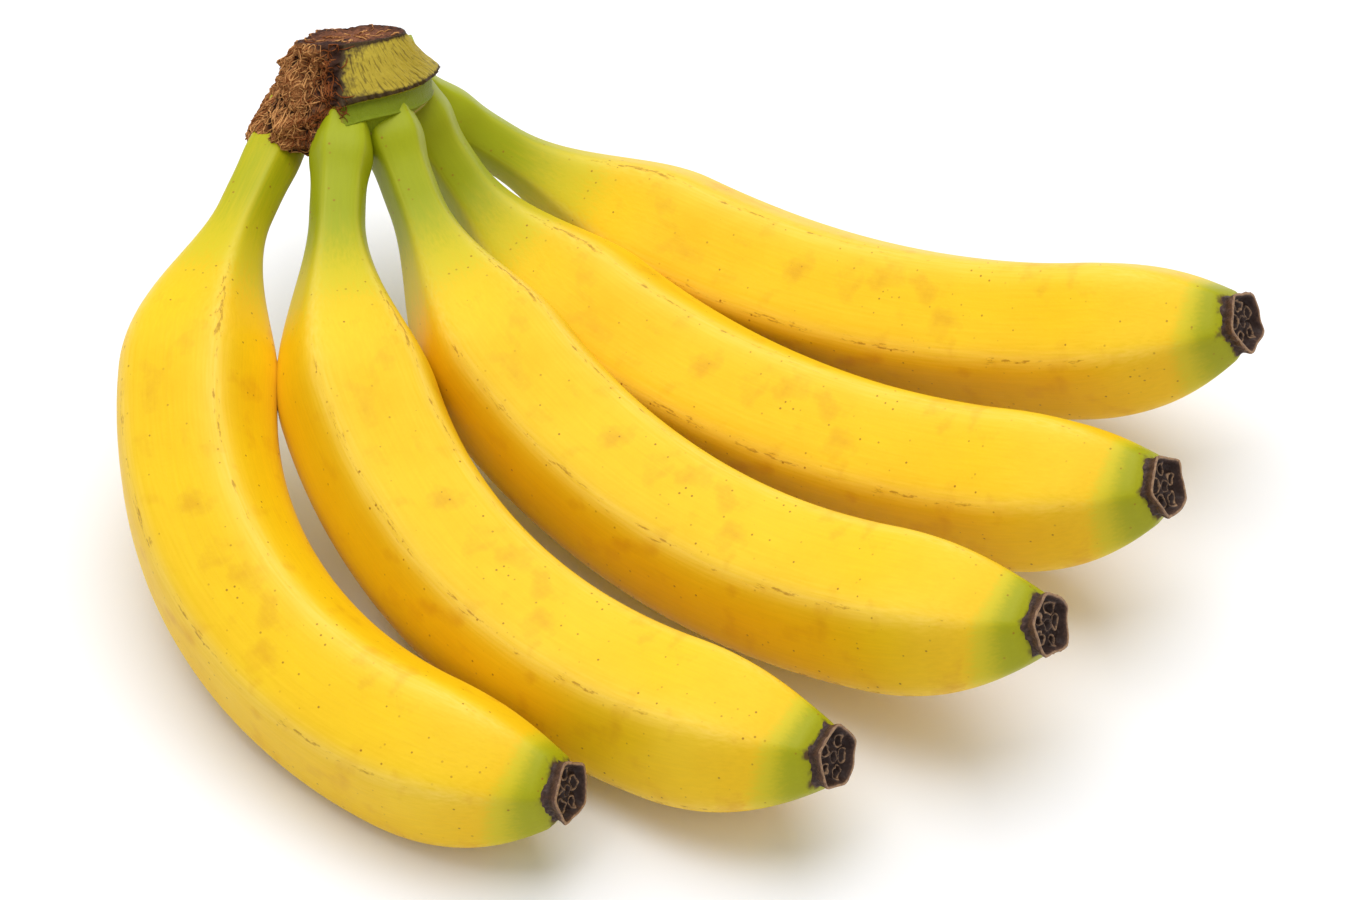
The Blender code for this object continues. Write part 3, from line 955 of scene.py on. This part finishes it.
class BANANAS_OT_fingers(bpy.types.Operator):
    """Build the skins of the five fingers on their CAD nodes"""

    bl_idname = "bananas.fingers"
    bl_label = "Fingers"

    def execute(self, context):
        settings = context.scene.banana_skin
        material = skin_material(settings)
        for name, shape in FINGERS.items():
            build_finger(settings, name, shape, material)
        return {"FINISHED"}


class BANANAS_OT_flower_ends(bpy.types.Operator):
    """Build the dried flower ends at the tips"""

    bl_idname = "bananas.flower_ends"
    bl_label = "Flower ends"

    def execute(self, context):
        settings = context.scene.flower_end
        material = flower_material(settings)
        for name, shape in FINGERS.items():
            build_flower_end(settings, context.scene.banana_skin, name, shape, material)
        return {"FINISHED"}


class BANANAS_OT_crown(bpy.types.Operator):
    """Build the cut and torn crown with its loose fibres"""

    bl_idname = "bananas.crown"
    bl_label = "Crown"

    def execute(self, context):
        settings = context.scene.banana_crown
        build_crown(settings, crown_material(settings))
        build_fibres(settings, fibre_material(settings))
        return {"FINISHED"}


class BANANAS_OT_studio(bpy.types.Operator):
    """Build the floor, the lights and the camera"""

    bl_idname = "bananas.studio"
    bl_label = "Studio"

    def execute(self, context):
        scene = context.scene
        settings = scene.banana_studio
        low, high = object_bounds()
        floor_level = low[2] / MM - FLOOR_DROP
        half = settings.floor_size / 2.0 / MM
        square = ((-1, -1), (1, -1), (1, 1), (-1, 1))
        corners = [Vector((x * half, y * half, floor_level)) for x, y in square]
        floor = piece_from("studio_floor", corners, [(0, 1, 2, 3)])
        floor.data.materials.append(paper_material(settings))
        floor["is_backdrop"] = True

        key_data = bpy.data.lights.new("key_lamp", "AREA")
        key_data.shape = "SQUARE"
        key_data.size = settings.key_side
        key_data.energy = settings.key_power
        key = bpy.data.objects.new("key_lamp", key_data)
        key.location = settings.key_place
        key.rotation_euler = (Vector((0, 0, 0)) - key.location).to_track_quat("-Z", "Y").to_euler()
        scene.collection.objects.link(key)

        world = bpy.data.worlds.new("even_light")
        world.use_nodes = True
        background = world.node_tree.nodes["Background"]
        background.inputs["Color"].default_value = (1.0, 1.0, 1.0, 1.0)
        background.inputs["Strength"].default_value = settings.sky
        scene.world = world
        scene.view_settings.view_transform = "Standard"

        aim = Vector(((low[0] + high[0]) / 2.0 + AIM[0], (low[1] + high[1]) / 2.0 + AIM[1], AIM[2]))
        camera_data = bpy.data.cameras.new("camera")
        camera_data.lens = settings.lens
        camera = bpy.data.objects.new("camera", camera_data)
        tilt = settings.elevation
        camera.location = aim + Vector((0.0, -math.cos(tilt), math.sin(tilt))) * settings.distance
        camera.rotation_euler = (math.pi / 2.0 - tilt, 0.0, 0.0)
        scene.collection.objects.link(camera)
        scene.camera = camera
        return {"FINISHED"}


class BANANAS_PT_panel(bpy.types.Panel):
    """Lists the operators that build the bunch"""

    bl_idname = "BANANAS_PT_panel"
    bl_label = "Bunch of bananas"
    bl_space_type = "VIEW_3D"
    bl_region_type = "UI"
    bl_category = "Bananas"

    def draw(self, context):
        for operator in OPERATORS:
            self.layout.operator(operator.bl_idname)


GROUPS = {
    "banana_skin": BananaSkinSettings,
    "flower_end": FlowerEndSettings,
    "banana_crown": CrownSettings,
    "banana_studio": StudioSettings,
}
OPERATORS = (BANANAS_OT_fingers, BANANAS_OT_flower_ends, BANANAS_OT_crown, BANANAS_OT_studio)


def register():
    """Register the settings, the operators and the panel."""
    for name, group in GROUPS.items():
        bpy.utils.register_class(group)
        setattr(bpy.types.Scene, name, PointerProperty(type=group))
    for operator in OPERATORS:
        bpy.utils.register_class(operator)
    bpy.utils.register_class(BANANAS_PT_panel)


def unregister():
    """Take everything back out."""
    bpy.utils.unregister_class(BANANAS_PT_panel)
    for operator in reversed(OPERATORS):
        bpy.utils.unregister_class(operator)
    for name, group in reversed(GROUPS.items()):
        delattr(bpy.types.Scene, name)
        bpy.utils.unregister_class(group)


def main():
    """Build every piece and the studio."""
    register()
    bpy.ops.bananas.fingers()
    bpy.ops.bananas.flower_ends()
    bpy.ops.bananas.crown()
    bpy.ops.bananas.studio()


if __name__ == "__main__":
    main()
